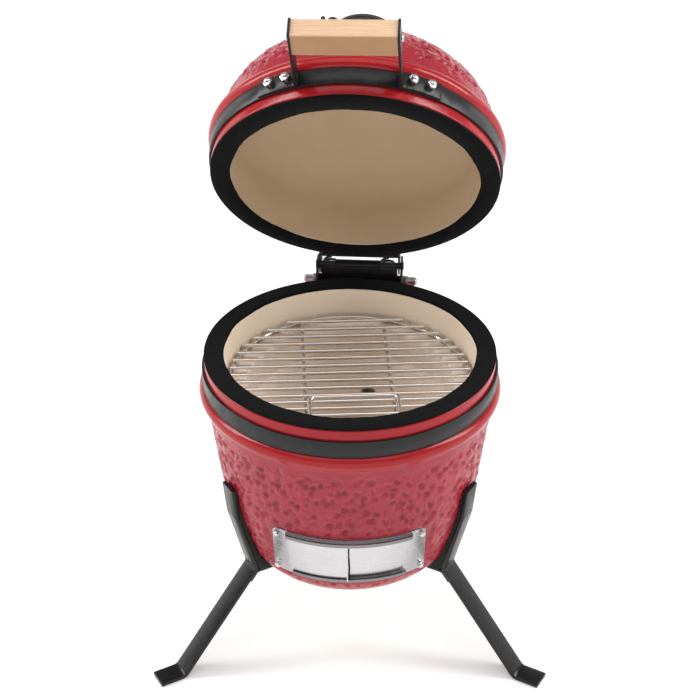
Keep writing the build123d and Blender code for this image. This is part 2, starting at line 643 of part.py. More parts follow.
# The row's origin is the middle of the whole object's footprint, so every piece moves there.
boxes = [shape.bounding_box() for shape in placed.values()]
middle_x = (min(box.min.X for box in boxes) + max(box.max.X for box in boxes)) / 2
middle_y = (min(box.min.Y for box in boxes) + max(box.max.Y for box in boxes)) / 2
to_origin = Location((-middle_x, -middle_y, 0))
for name, shape in placed.items():
    piece = shape.moved(to_origin)
    piece.label = name
    export_step(piece, f"parts/{name}.step")
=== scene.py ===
"""The looks of a kamado ceramic grill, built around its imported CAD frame.

Metres, +Z up, -Y to the front. Pieces of the pot are drawn about the pot's axis. Pieces of the
lid are drawn with the lid shut and then turned about the hinge to the open rest position.
"""

import json
from math import asin, cos, degrees, pi, radians, sin, sqrt

import bmesh
import bpy
from mathutils import Matrix, Vector, noise

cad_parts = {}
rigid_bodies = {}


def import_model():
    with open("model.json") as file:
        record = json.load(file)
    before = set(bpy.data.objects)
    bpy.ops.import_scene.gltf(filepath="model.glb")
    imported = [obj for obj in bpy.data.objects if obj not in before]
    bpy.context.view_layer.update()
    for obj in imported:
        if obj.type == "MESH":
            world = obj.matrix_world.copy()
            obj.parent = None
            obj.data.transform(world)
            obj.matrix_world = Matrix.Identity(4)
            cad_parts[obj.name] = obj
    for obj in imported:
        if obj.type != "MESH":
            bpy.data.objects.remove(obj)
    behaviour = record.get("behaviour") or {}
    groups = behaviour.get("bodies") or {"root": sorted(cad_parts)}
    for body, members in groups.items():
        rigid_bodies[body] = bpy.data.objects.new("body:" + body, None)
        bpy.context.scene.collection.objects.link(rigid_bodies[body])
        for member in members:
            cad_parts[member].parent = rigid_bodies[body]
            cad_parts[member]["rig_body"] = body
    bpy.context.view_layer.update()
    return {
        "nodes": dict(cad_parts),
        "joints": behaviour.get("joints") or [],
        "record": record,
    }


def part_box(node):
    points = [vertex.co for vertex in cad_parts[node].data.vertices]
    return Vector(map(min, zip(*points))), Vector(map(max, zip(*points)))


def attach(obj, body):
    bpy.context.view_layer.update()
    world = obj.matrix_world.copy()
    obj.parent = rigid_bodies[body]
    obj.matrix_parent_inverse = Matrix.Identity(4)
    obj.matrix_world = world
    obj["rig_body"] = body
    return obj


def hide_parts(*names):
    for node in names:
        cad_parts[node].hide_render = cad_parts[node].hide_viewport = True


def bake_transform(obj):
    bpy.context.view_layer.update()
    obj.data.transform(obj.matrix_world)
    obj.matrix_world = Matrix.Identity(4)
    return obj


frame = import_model()
nodes = frame["nodes"]

# ---------------------------------------------------------------- driving dimensions (mm, degrees)
MM = 0.001
RIM = 361.3
LID_OPEN = 58.0
GAP = 0.4
GASKET_T = 3.0
LIP_H = 15.0
BAND_H = 18.8

POT_LIP_R = 155.9
POT_BEAD_R = 162.5
POT_INNER_R = 135.0
POT_DEPTH = 243.5
POT_FLOOR = 225.0
BEAD_H = 17.0

LID_LIP_R = 153.9
LID_BEAD_R = 159.7
LID_INNER_R = 132.5
DOME_R = 150.2
DOME_H = 106.8
DOME_Z = RIM + 51.0
CERAMIC_T = 20.0
CHIMNEY_R = 24.0
NECK_R = 36.0
NECK_Z = RIM + 160.0

DRAFT_TURN = 3.2
DRAFT_TOP = RIM - 148.2
DRAFT_BOTTOM = RIM - 219.5
DRAFT_TOP_R = 142.1
DRAFT_BOTTOM_R = 121.9
DRAFT_HALF_ANGLE = 39.0
DRAFT_HOLE = (112.0, 48.0)
# the section of the dark strip set in the draft door's gap as painted shadow: across the door, and out
# from the draft frame's seat
GAP_SHADOW_PROFILE = [(-0.6, 4.9), (-0.6, 5.3), (0.2, 5.5), (0.9, 5.2)]
GAP_SHADOW_PROFILE += [(1.1, 4.2), (0.9, 2.9), (0.1, 2.9), (0.1, 4.9)]
GAP_SHADOW_STEPS = 24

ROD_Y = 194.0
ROD_Z = RIM - 23.0
ROD_R = 2.5
BAR_OPEN = (194.0, RIM + 9.0)
SPRING_X = (-35.0, 32.0)
SPRING_R = 7.6
SPRING_WIRE_R = 1.4
SPRING_PITCH = 3.1
SPRING_TURN_STEPS = 24
HOOK_STEPS = 12

FLOOR_HALF = 30  # in m, like the wall
WALL = (20.0, 5.0)  # radius and height of the white wall round the studio
WALL_GLOW = 0.75
WORLD_LEVEL = 0.36
FLOOR_GLOW = (0.24, 0.52)  # near the grill, and far off
# name, place and aim in m, size in m, power in W
SOFTBOXES = [
    ("overhead", (0, -0.35, 2.5), (0, 0, 0.3), (2.2, 1.8), 17),
    ("front_low", (0, -3.0, 0.9), (0, 0, 0.4), (2.6, 1.0), 2),
    ("left", (-1.7, 0.1, 1.6), (0, 0, 0.4), (0.6, 1.5), 25),
    ("right", (1.7, 0.1, 1.6), (0, 0, 0.4), (0.6, 1.5), 25),
]
CAMERA_FROM_AXIS = (0.09307, -1.46308, 0.87891)  # in m, from the pot's axis at the rim
CAMERA_TURN = (58.97, 0.0, 3.64)
CAMERA_LENS = 82.29

DIMPLE_PITCH = 10.2
DIMPLE_DEPTH = 2.1
WOBBLE_SHIFTS = (Vector((0, 0, 0)), Vector((31.7, 0, 0)), Vector((0, 64.3, 0)))
ROUND_STEPS = 660  # columns round the pot and the lid
RELIEF_STEP = 1.6  # spacing of the rows in the dimpled parts
EASE_ANGLE = 35  # edges sharper than this are rounded

# ---------------------------------------------------------------- where things are
gasket_low, gasket_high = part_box("base_gasket")
AXIS = Vector(((gasket_low.x + gasket_high.x) / 2, (gasket_low.y + gasket_high.y) / 2, 0))
lid_joint = next(j for j in frame["joints"] if j["name"] == "lid_hinge")
HINGE = Vector(lid_joint["pos_m"])
TO_POT = Matrix.Translation(AXIS)
LID_TURN = Matrix.Rotation(radians(-LID_OPEN), 4, "X")
TO_LID = Matrix.Translation(HINGE) @ LID_TURN @ Matrix.Translation(-HINGE) @ TO_POT
DRAFT_PLACE = TO_POT @ Matrix.Rotation(radians(DRAFT_TURN), 4, "Z")


# ---------------------------------------------------------------- mesh helpers
def new_object(name, mesh):
    obj = bpy.data.objects.new(name, mesh)
    bpy.context.scene.collection.objects.link(obj)
    return obj


def smooth_path(points, step):
    """Points a given step apart on a smooth curve through the given points."""
    pts = [Vector(p) for p in points]
    pts = [2 * pts[0] - pts[1]] + pts + [2 * pts[-1] - pts[-2]]
    found = []
    for a, b, c, d in zip(pts, pts[1:], pts[2:], pts[3:]):
        count = max(2, int((c - b).length / step))
        for k in range(count):
            t = k / count
            found.append(
                0.5 * (2 * b + (c - a) * t + (2 * a - 5 * b + 4 * c - d) * t * t
                       + (3 * b - a - 3 * c + d) * t**3)
            )
    found.append(pts[-2])
    return [(p[0], p[1]) for p in found]


def arc(centre, radius, start, end, count):
    """Points on an arc in the (r, z) plane."""
    turns = [radians(start + (end - start) * k / count) for k in range(count + 1)]
    return [(centre[0] + radius * cos(t), centre[1] + radius * sin(t)) for t in turns]


def lathe(name, runs, steps, place, relief=None):
    """A closed body of revolution. Each run is (points, material index), end to end.

    The points are (radius, height) in mm. relief(angle, radius, height, run) gives the new radius
    and height of a point.
    """
    rows, face_runs = [], []
    for index, (points, _) in enumerate(runs):
        for point in points:
            if rows and abs(rows[-1][0] - point[0]) + abs(rows[-1][1] - point[1]) < 1e-4:
                continue
            rows.append((point[0], point[1], index))
            face_runs.append(index)
    looped = rows[0][0] > 1e-6 or rows[-1][0] > 1e-6
    verts = []
    for radius, height, index in rows:
        for k in range(steps):
            turn = 2 * pi * k / steps
            r, z = (radius, height) if relief is None else relief(turn, radius, height, index)
            verts.append((r * cos(turn) * MM, r * sin(turn) * MM, z * MM))
    faces, slots = [], []
    last = len(rows) if looped else len(rows) - 1
    for i in range(last):
        j = (i + 1) % len(rows)
        for k in range(steps):
            n = (k + 1) % steps
            faces.append((i * steps + k, i * steps + n, j * steps + n, j * steps + k))
            slots.append(runs[face_runs[j] if j else face_runs[i]][1])
    mesh = bpy.data.meshes.new(name)
    mesh.from_pydata(verts, [], faces)
    mesh.polygons.foreach_set("material_index", slots)
    tidy = bmesh.new()
    tidy.from_mesh(mesh)
    bmesh.ops.remove_doubles(tidy, verts=tidy.verts, dist=1e-7)
    bmesh.ops.recalc_face_normals(tidy, faces=tidy.faces)
    for face in tidy.faces:
        face.smooth = True
    tidy.to_mesh(mesh)
    tidy.free()
    mesh.transform(place)
    return new_object(name, mesh)


def apply_modifiers(obj):
    """Replaces the mesh by what its modifiers make of it."""
    graph = bpy.context.evaluated_depsgraph_get()
    made = bpy.data.meshes.new_from_object(obj.evaluated_get(graph))
    obj.modifiers.clear()
    old = obj.data
    obj.data = made
    bpy.data.meshes.remove(old)


def eased(node, width):
    """A copy of a CAD node with its sharp edges rounded, shown in its place."""
    mesh = nodes[node].data.copy()
    work = bmesh.new()
    work.from_mesh(mesh)
    bmesh.ops.remove_doubles(work, verts=work.verts, dist=2e-6)
    bmesh.ops.dissolve_limit(work, angle_limit=radians(0.5), verts=work.verts, edges=work.edges)
    bmesh.ops.recalc_face_normals(work, faces=work.faces)
    for face in work.faces:
        face.smooth = True
    work.to_mesh(mesh)
    work.free()
    obj = new_object(node + "_eased", mesh)
    bevel = obj.modifiers.new("ease", "BEVEL")
    bevel.width = width * MM
    bevel.segments = 2
    bevel.limit_method = "ANGLE"
    bevel.angle_limit = radians(EASE_ANGLE)
    bevel.harden_normals = True
    apply_modifiers(obj)
    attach(obj, nodes[node]["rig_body"])
    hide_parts(node)
    return obj


def tube(name, points, radius):
    """A round wire along points given in mm, in the row frame."""
    curve = bpy.data.curves.new(name, "CURVE")
    curve.dimensions = "3D"
    curve.bevel_depth = radius * MM
    curve.bevel_resolution = 6
    curve.use_fill_caps = True
    spline = curve.splines.new("POLY")
    spline.points.add(len(points) - 1)
    for target, point in zip(spline.points, points):
        target.co = (*(Vector(point) * MM), 1)
    holder = new_object(name + "_line", curve)
    graph = bpy.context.evaluated_depsgraph_get()
    mesh = bpy.data.meshes.new_from_object(holder.evaluated_get(graph))
    bpy.data.objects.remove(holder)
    for polygon in mesh.polygons:
        polygon.use_smooth = True
    return new_object(name, mesh)


# ---------------------------------------------------------------- material helpers
class Shader:
    """A material with a Principled shader, and short calls for the nodes that feed it."""

    def __init__(self, name, **values):
        self.material = bpy.data.materials.new(name)
        self.material.use_nodes = True
        self.tree = self.material.node_tree
        self.surface = self.tree.nodes["Principled BSDF"]
        for key, value in values.items():
            self.surface.inputs[key.replace("_", " ")].default_value = value
        self.place = self.node("ShaderNodeTexCoord").outputs["Object"]

    def node(self, kind, inputs=None, **settings):
        made = self.tree.nodes.new(kind)
        for key, value in settings.items():
            setattr(made, key, value)
        for key, value in (inputs or {}).items():
            if isinstance(value, bpy.types.NodeSocket):
                self.tree.links.new(value, made.inputs[key])
            else:
                made.inputs[key].default_value = value
        return made

    def stretch(self, scale):
        made = self.node("ShaderNodeMapping", {"Vector": self.place, "Scale": scale})
        return made.outputs["Vector"]

    def noise(self, scale, detail=3.0, roughness=0.5, vector=None, distortion=0.0):
        made = self.node(
            "ShaderNodeTexNoise",
            {"Vector": vector or self.place, "Scale": scale, "Detail": detail,
             "Roughness": roughness, "Distortion": distortion},
        )
        return made.outputs["Fac"]

    def ramp(self, value, *stops):
        made = self.node("ShaderNodeValToRGB", {"Fac": value})
        elements = made.color_ramp.elements
        while len(elements) < len(stops):
            elements.new(0.5)
        for element, (at, colour) in zip(elements, stops):
            element.position = at
            element.color = (*colour, 1) if len(colour) == 3 else colour
        return made.outputs["Color"]

    def grey(self, value, low, high, start=0.3, end=0.7):
        made = self.node(
            "ShaderNodeMapRange",
            {"Value": value, "From Min": start, "From Max": end, "To Min": low, "To Max": high},
        )
        return made.outputs["Result"]

    def mix(self, factor, a, b):
        made = self.node("ShaderNodeMix", data_type="RGBA")
        sockets = (made.inputs["Factor"], made.inputs[6], made.inputs[7])
        for socket, value in zip(sockets, (factor, a, b)):
            if isinstance(value, bpy.types.NodeSocket):
                self.tree.links.new(value, socket)
            else:
                socket.default_value = value if isinstance(value, float) else (*value, 1)
        return made.outputs[2]

    def add(self, a, b, weight=1.0):
        scaled = self.node("ShaderNodeMath", operation="MULTIPLY_ADD")
        self.tree.links.new(b, scaled.inputs[0])
        scaled.inputs[1].default_value = weight
        self.tree.links.new(a, scaled.inputs[2])
        return scaled.outputs[0]

    def bump(self, height, distance, strength=1.0):
        inputs = {"Height": height, "Distance": distance, "Strength": strength}
        made = self.node("ShaderNodeBump", inputs)
        self.tree.links.new(made.outputs["Normal"], self.surface.inputs["Normal"])

    def set(self, socket, value):
        self.tree.links.new(value, self.surface.inputs[socket])


def dress(obj, *shaders, slot=None):
    """Gives an object its materials. The slot argument is not used."""
    for index, shader in enumerate(shaders):
        if index < len(obj.data.materials):
            obj.data.materials[index] = shader.material
        else:
            obj.data.materials.append(shader.material)


# ---------------------------------------------------------------- materials
def make_glaze():
    """Deep red glaze: thick and glossy, a little uneven in colour where it pooled."""
    s = Shader("red_glaze", IOR=1.5, Specular_IOR_Level=0.32)
    broad = s.noise(14, 4, 0.55)
    fine = s.noise(260, 3, 0.6)
    colour = s.ramp(broad, (0.3, (0.34, 0.008, 0.012)), (0.7, (0.40, 0.012, 0.017)))
    s.set("Base Color", s.mix(s.grey(fine, 0.0, 0.25), colour, (0.28, 0.006, 0.010)))
    s.set("Roughness", s.grey(fine, 0.14, 0.22))
    s.bump(s.add(s.noise(420, 2, 0.5), s.noise(90, 2, 0.5), 1.5), 0.00025, 0.35)
    return s


def make_dimpled_glaze():
    """The same glaze over the dimpled wall, softer and paler, with painted shade darkening it down in
    the dimples.
    """
    s = Shader("dimpled_glaze", IOR=1.5, Specular_IOR_Level=0.36)
    pits = s.node("ShaderNodeAttribute", attribute_name="pit", attribute_type="GEOMETRY").outputs["Fac"]
    broad = s.noise(18, 4, 0.55)
    colour = s.ramp(broad, (0.3, (0.31, 0.016, 0.030)), (0.7, (0.37, 0.022, 0.038)))
    # painted shade: the colour is mixed towards a dark red by how deep in a dimple each point lies
    s.set("Base Color", s.mix(s.grey(pits, 0.0, 0.75, 0.1, 1.0), colour, (0.15, 0.002, 0.012)))
    s.set("Roughness", s.grey(s.noise(120, 3, 0.6), 0.19, 0.31))
    s.bump(s.add(s.noise(300, 3, 0.55), s.noise(80, 2, 0.5), 2.0), 0.0003, 0.4)
    return s


def make_raw_ceramic(name, light, dark, roughness=0.62):
    """Unglazed cream ceramic with fine speckle and faint throwing marks."""
    s = Shader(name, Roughness=roughness, IOR=1.45)
    cloud = s.noise(9, 5, 0.6)
    speck = s.noise(700, 2, 0.7)
    colour = s.ramp(cloud, (0.3, dark), (0.7, light))
    s.set("Base Color", s.mix(s.grey(speck, 0.0, 0.3, 0.62, 0.8), colour, tuple(c * 0.6 for c in dark)))
    rings = s.noise(60, 3, 0.5, s.stretch((0.15, 0.15, 6)))
    s.bump(s.add(s.noise(500, 4, 0.65), rings, 0.8), 0.0004, 0.35)
    return s


def make_felt():
    """Black pressed felt with a short fuzz."""
    s = Shader("felt", Roughness=0.95, Sheen_Weight=0.03, Sheen_Roughness=0.5, Specular_IOR_Level=0.03)
    s.surface.inputs["Sheen Tint"].default_value = (0.5, 0.5, 0.55, 1)
    fibre = s.noise(1400, 4, 0.75, distortion=1.5)
    s.set("Base Color", s.ramp(fibre, (0.3, (0.004, 0.004, 0.0045)), (0.75, (0.014, 0.014, 0.015))))
    s.bump(s.add(fibre, s.noise(160, 3, 0.6), 1.5), 0.0009, 0.6)
    return s


def make_black_steel(name="black_steel", base=0.008, roughness=0.33, grain=900, gloss=0.34):
    """Satin black paint on steel, with a fine orange-peel and rubbed edges."""
    s = Shader(name, IOR=1.5, Specular_IOR_Level=gloss)
    patch = s.noise(35, 4, 0.6)
    dark = (base, base, base * 1.08)
    light = (base * 1.5, base * 1.5, base * 1.65)
    s.set("Base Color", s.ramp(patch, (0.3, dark), (0.7, light)))
    s.set("Roughness", s.grey(s.noise(50, 4, 0.6), roughness - 0.05, roughness + 0.07))
    s.bump(s.noise(grain, 2, 0.5), 0.00015, 0.4)
    return s


def make_cast_iron():
    s = Shader("cast_iron", IOR=1.5, Metallic=0.35)
    colour = s.ramp(s.noise(120, 5, 0.7), (0.3, (0.022, 0.022, 0.024)), (0.7, (0.050, 0.050, 0.053)))
    s.set("Base Color", colour)
    s.set("Roughness", s.grey(s.noise(200, 3, 0.6), 0.42, 0.62))
    s.bump(s.add(s.noise(900, 4, 0.7), s.noise(160, 3, 0.6), 1.6), 0.0005, 0.5)
    return s


def make_steel(name, colour, roughness, stretch=(1, 1, 1), scale=700, depth=0.00008):
    """Bare stainless steel, with a fine brushed grain."""
    s = Shader(name, Metallic=1.0)
    grain = s.noise(scale, 3, 0.6, s.stretch(stretch))
    dark = tuple(c * 0.88 for c in colour)
    s.set("Base Color", s.ramp(grain, (0.3, dark), (0.7, colour)))
    wear = s.add(grain, s.noise(25, 3, 0.6), 0.5)
    s.set("Roughness", s.grey(wear, roughness * 0.75, roughness * 1.35, 0.4, 1.1))
    s.bump(grain, depth, 0.3)
    return s


def make_bamboo():
    """Laminated bamboo: fine straight fibres along X, pale seams between strips, soft lacquer, and
    painted shade darkening the faces turned down.
    """
    s = Shader("bamboo", IOR=1.5, Coat_Weight=0.25, Coat_Roughness=0.3)
    fibre = s.noise(60, 6, 0.65, s.stretch((0.6, 12, 12)))
    broad = s.noise(9, 3, 0.5, s.stretch((0.8, 5, 5)))
    light = s.ramp(
        fibre, (0.25, (0.57, 0.34, 0.185)), (0.5, (0.71, 0.465, 0.285)), (0.8, (0.81, 0.575, 0.38)))
    wood = s.mix(s.grey(broad, 0.0, 0.5), light, (0.62, 0.37, 0.20))
    # painted shade: faces turned down are mixed towards a dark brown, by up to 0.7 where they face
    # straight down
    facing = s.node("ShaderNodeSeparateXYZ", {0: s.node("ShaderNodeTexCoord").outputs["Normal"]})
    underside_painted_shade = s.grey(facing.outputs["Z"], 0.7, 0.0, -0.5, 0.1)
    s.set("Base Color", s.mix(underside_painted_shade, wood, (0.29, 0.125, 0.038)))
    s.set("Roughness", s.grey(fibre, 0.40, 0.58))
    s.bump(s.add(fibre, s.noise(900, 3, 0.6, s.stretch((0.05, 1, 1))), 0.6), 0.0003, 0.3)
    return s


def make_rubber():
    s = Shader("black_pad", IOR=1.45, Specular_IOR_Level=0.3)
    colour = s.ramp(s.noise(90, 4, 0.6), (0.3, (0.008, 0.008, 0.008)), (0.7, (0.018, 0.018, 0.018)))
    s.set("Base Color", colour)
    s.set("Roughness", s.grey(s.noise(300, 3, 0.6), 0.6, 0.8))
    s.bump(s.noise(700, 3, 0.6), 0.0003, 0.4)
    return s


glaze = make_glaze()
dimpled = make_dimpled_glaze()
cream = make_raw_ceramic("cream_ceramic", (0.92, 0.78, 0.62), (0.86, 0.71, 0.56))
# painted shade: the lid's inside takes a darker copy of the cream ceramic, as it faces down and away
# from the light
lid_cream_painted_shade = make_raw_ceramic("lid_ceramic_painted_shade", (0.60, 0.455, 0.30), (0.56, 0.415, 0.27))
firebrick = make_raw_ceramic("firebrick", (0.93, 0.80, 0.69), (0.87, 0.74, 0.62), 0.8)
felt = make_felt()
black_steel = make_black_steel()
black_leg = make_black_steel("black_leg", 0.003, 0.26, 1100, 0.36)
dark_wire = make_black_steel("dark_wire", 0.028, 0.34, 1500)
cast_iron = make_cast_iron()
sheet_steel = make_steel(
    "stainless_sheet", (0.61, 0.605, 0.62), 0.24, stretch=(0.08, 0.08, 1.0), depth=0.000004)
rail_steel = make_steel("rolled_rail", (0.24, 0.235, 0.24), 0.22, depth=0.00001)
wire_steel = make_steel("stainless_wire", (0.80, 0.77, 0.74), 0.16, scale=900)
chrome = make_steel("bright_fastener", (0.66, 0.655, 0.67), 0.05, scale=400, depth=0.00002)
dull_steel = make_steel("dull_fastener", (0.42, 0.42, 0.44), 0.30, scale=500)
bamboo = make_bamboo()
rubber = make_rubber()


# ---------------------------------------------------------------- the glazed bodies
# the materials of the glazed bodies, in order, and which run of each outline is dimpled
GLOSSY, DIMPLED, BARE = range(3)
POT_WALL_RUN = 1
LID_SHELL_RUN = 3


def ease(value, low, high):
    """0 below low, 1 above high, smooth between."""
    t = min(1.0, max(0.0, (value - low) / (high - low)))
    return t * t * (3 - 2 * t)


def dimple(point, fade):
    """How far a point of the dimpled wall is pressed in, in mm, and how deep in a dimple it is.

    Pits 6 to 9 mm across lie irregularly on a gently hammered surface.
    """
    if fade <= 0:
        return 0.0, 0.0
    wobble = Vector([noise.noise(point / 6.0 + shift) for shift in WOBBLE_SHIFTS]) * 2.4
    near, cells = noise.voronoi((point + wobble) / DIMPLE_PITCH)
    size = 5.0 + 2.2 * noise.noise(cells[0] * 3.7)
    off = near[0] * DIMPLE_PITCH / size
    pit = ease(1.0 - off, 0.0, 0.75)
    rim = ease(1.0 - abs(off - 1.15) / 0.3, 0.0, 1.0)
    rolling = noise.noise(point / 15.0) * 0.6
    rolling += noise.noise(point / 6.5) * 0.55
    rolling += noise.noise(point / 3.2) * 0.2
    return fade * (DIMPLE_DEPTH * pit - 0.45 * rim + 0.4 - rolling), fade * pit


def store_pits(obj, pits):
    """Keeps how deep in a dimple each vertex is, for the glaze's painted shade there."""
    attribute = obj.data.attributes.new("pit", "FLOAT", "POINT")
    attribute.data.foreach_set("value", pits)


def cone_r(z):
    share = (DRAFT_TOP - z) / (DRAFT_TOP - DRAFT_BOTTOM)
    return DRAFT_TOP_R + (DRAFT_BOTTOM_R - DRAFT_TOP_R) * share


def pit_depths(obj, place, span):
    """The pit value at each vertex, worked out again from its place on the finished mesh."""
    back = place.inverted()
    depths = []
    for vertex in obj.data.vertices:
        p = back @ vertex.co / MM
        radius = sqrt(p.x * p.x + p.y * p.y)
        if radius < 1 or not span(radius, p.z):
            depths.append(0.0)
            continue
        depths.append(dimple(Vector(p), 1.0)[1] * span(radius, p.z))
    return depths


def pot_fade(radius, z):
    """1 on the dimpled wall of the pot, 0 near the bead, on the foot and inside."""
    if radius < 96 or z > RIM - 45:
        return 0.0
    if radius < 130 and z > RIM - 180 or radius < 118 and z > RIM - 222:
        return 0.0
    return ease(RIM - 58 - z, 0, 14) * ease(z, RIM - POT_DEPTH + 6, RIM - POT_DEPTH + 16)


def pot_relief(turn, radius, z, run):
    if run != POT_WALL_RUN:
        return radius, z
    p = Vector((radius * cos(turn), radius * sin(turn), z))
    off = (degrees(turn) - 270 - DRAFT_TURN + 180) % 360 - 180
    near_door = ease(DRAFT_HALF_ANGLE + 1.5 - abs(off), 0, 2.0)
    near_door *= ease(z, DRAFT_BOTTOM - 4, DRAFT_BOTTOM - 1) * ease(DRAFT_TOP + 4 - z, 0, 3)
    push, _ = dimple(p, pot_fade(radius, z) * (1 - near_door))
    r = radius - push
    seat = min(r, cone_r(z) - 0.05)
    return r + (seat - r) * near_door, z


def make_pot():
    top = RIM - GASKET_T
    bead_top = RIM - LIP_H - BAND_H
    foot = [(0, RIM - POT_DEPTH), (103, RIM - POT_DEPTH)]
    body = [(105, -243.4), (109.8, -241.0), (120, -227), (128, -206), (135, -183), (141, -158)]
    body += [(144.8, -133), (148.8, -101), (152.6, -72), (154.4, -58), (155.3, -53)]
    wall = smooth_path([(r, RIM + z) for r, z in body], RELIEF_STEP)
    bead_mid = bead_top - BEAD_H / 2
    bead = smooth_path(
        [(155.3, RIM - 53), (157.0, RIM - 50.6), (160.6, bead_mid - 5.6), (POT_BEAD_R, bead_mid),
         (160.8, bead_mid + 5.2), (157.2, bead_top - 0.4), (POT_LIP_R, bead_top)], 0.9)
    lip = [(POT_LIP_R, bead_top), (POT_LIP_R, RIM - LIP_H), (POT_LIP_R, top - 2)]
    lip += arc((POT_LIP_R - 2, top - 2), 2, 10, 90, 5)
    inner = [(POT_LIP_R - 2, top), (POT_INNER_R + 2, top)]
    inner += arc((POT_INNER_R + 2, top - 2), 2, 90, 180, 5)
    bowl = [(POT_INNER_R, -6), (133.5, -55), (127, -110), (119, -158)]
    bowl += [(112, -183), (101, -206), (80, -POT_FLOOR)]
    inner += smooth_path([(r, RIM + z) for r, z in bowl], 4)[1:]
    inner += [(0, RIM - POT_FLOOR)]
    runs = [(foot, BARE), (wall, DIMPLED), (bead, GLOSSY), (lip, GLOSSY), (inner, BARE)]
    pot = lathe("pot_body", runs, ROUND_STEPS, TO_POT, pot_relief)
    cut_draft_hole(pot)
    store_pits(pot, pit_depths(pot, TO_POT, pot_fade))
    dress(pot, glaze, dimpled, cream, slot="red_glaze")
    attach(pot, "grill_base")
    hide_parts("pot")


def cut_draft_hole(pot):
    """Cuts the air opening behind the draft door."""
    width, height = (size / 2 * MM for size in DRAFT_HOLE)
    corner = 5 * MM
    cutter = bmesh.new()
    ring = []
    for cx, cz, start in ((1, 1, 0), (-1, 1, 90), (-1, -1, 180), (1, -1, 270)):
        for k in range(5):
            t = radians(start + 22.5 * k)
            x = cx * (width - corner) + corner * cos(t)
            ring.append((x, cz * (height - corner) + corner * sin(t)))
    near = [cutter.verts.new((x, -0.18, z)) for x, z in ring]
    far = [cutter.verts.new((x, -0.055, z)) for x, z in ring]
    cutter.faces.new(near)
    cutter.faces.new(far)
    for k in range(len(ring)):
        n = (k + 1) % len(ring)
        cutter.faces.new((near[k], near[n], far[n], far[k]))
    bmesh.ops.recalc_face_normals(cutter, faces=cutter.faces)
    mesh = bpy.data.meshes.new("cutter")
    cutter.to_mesh(mesh)
    cutter.free()
    middle = (DRAFT_TOP + DRAFT_BOTTOM) / 2 * MM
    mesh.transform(DRAFT_PLACE @ Matrix.Translation((0, 0, middle)))
    for shader in (glaze, dimpled, cream):
        mesh.materials.append(shader.material)
        pot.data.materials.append(shader.material)
    for face in mesh.polygons:
        face.material_index = BARE
    tool = new_object("cutter", mesh)
    modifier = pot.modifiers.new("hole", "BOOLEAN")
    modifier.operation = "DIFFERENCE"
    modifier.object = tool
    modifier.solver = "EXACT"
    apply_modifiers(pot)
    bpy.data.objects.remove(tool)
    bpy.data.meshes.remove(mesh)


def dome(radius, base_r=DOME_R, height=DOME_H):
    return DOME_Z + height * sqrt(max(0.0, 1 - (radius / base_r) ** 2))


def lid_fade(radius, z):
    """1 on the dimpled dome, 0 near the bead, the neck and inside."""
    if z < DOME_Z - 2 or radius < NECK_R + 1:
        return 0.0
    if z < dome(min(radius, DOME_R - 0.1)) - 9 and radius < DOME_R - 6:
        return 0.0
    return ease(z, DOME_Z + 7, DOME_Z + 20) * ease(radius, NECK_R + 4, NECK_R + 14)


def lid_relief(turn, radius, z, run):
    if run != LID_SHELL_RUN:
        return radius, z
    push, _ = dimple(Vector((radius * cos(turn), radius * sin(turn), z)), lid_fade(radius, z))
    slope = Vector((radius / DOME_R**2, (z - DOME_Z) / DOME_H**2))
    slope.normalize()
    return radius - push * slope.x, z - push * slope.y


def make_lid():
    bottom = RIM + GAP + GASKET_T
    band_top = RIM + LIP_H + BAND_H
    inner_h = DOME_H - CERAMIC_T
    under = [(LID_INNER_R + 2, bottom), (LID_LIP_R - 2, bottom)]
    lip = arc((LID_LIP_R - 2, bottom + 2), 2, -90, 0, 5)
    lip += [(LID_LIP_R, RIM + LIP_H), (LID_LIP_R, band_top + 0.2)]
    bead = smooth_path(
        [(LID_LIP_R, band_top + 0.2), (156.2, band_top + 1.0), (158.8, band_top + 4.2),
         (LID_BEAD_R, band_top + 8.4), (158.6, band_top + 12.6), (155.4, band_top + 16.0),
         (152.0, DOME_Z - 0.5), (DOME_R - 0.15, DOME_Z + 3.5)], 0.9)
    outer_end = degrees(asin((dome(NECK_R + 5) - DOME_Z) / DOME_H))
    start = degrees(asin(3.5 / DOME_H))
    count = int(DOME_R * radians(outer_end) / RELIEF_STEP)
    shell = []
    for k in range(count + 1):
        t = radians(start + (outer_end - start) * k / count)
        shell.append((DOME_R * cos(t), DOME_Z + DOME_H * sin(t)))
    neck = smooth_path(
        [shell[-1], (NECK_R + 2, dome(NECK_R) + 1.6), (NECK_R + 0.3, dome(NECK_R) + 4.5),
         (NECK_R, NECK_Z - 2), (NECK_R - 1.6, NECK_Z)], 1.0)
    neck += [(CHIMNEY_R + 1, NECK_Z)]
    hollow = [(CHIMNEY_R, NECK_Z - 1), (CHIMNEY_R, dome(CHIMNEY_R, LID_INNER_R, inner_h))]
    for k in range(1, 41):
        t = asin((hollow[1][1] - DOME_Z) / inner_h) * (1 - k / 40)
        hollow.append((LID_INNER_R * cos(t), DOME_Z + inner_h * sin(t)))
    hollow += [(LID_INNER_R, bottom + 2)] + arc((LID_INNER_R + 2, bottom + 2), 2, 180, 270, 4)
    runs = [(under, BARE), (lip, GLOSSY), (bead, GLOSSY)]
    runs += [(shell, DIMPLED), (neck, GLOSSY), (hollow, BARE)]
    obj = lathe("lid_body", runs, ROUND_STEPS, TO_LID, lid_relief)
    store_pits(obj, pit_depths(obj, TO_LID, lid_fade))
    dress(obj, glaze, dimpled, lid_cream_painted_shade, slot="red_glaze")
    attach(obj, "lid")
    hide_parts("lid_shell")


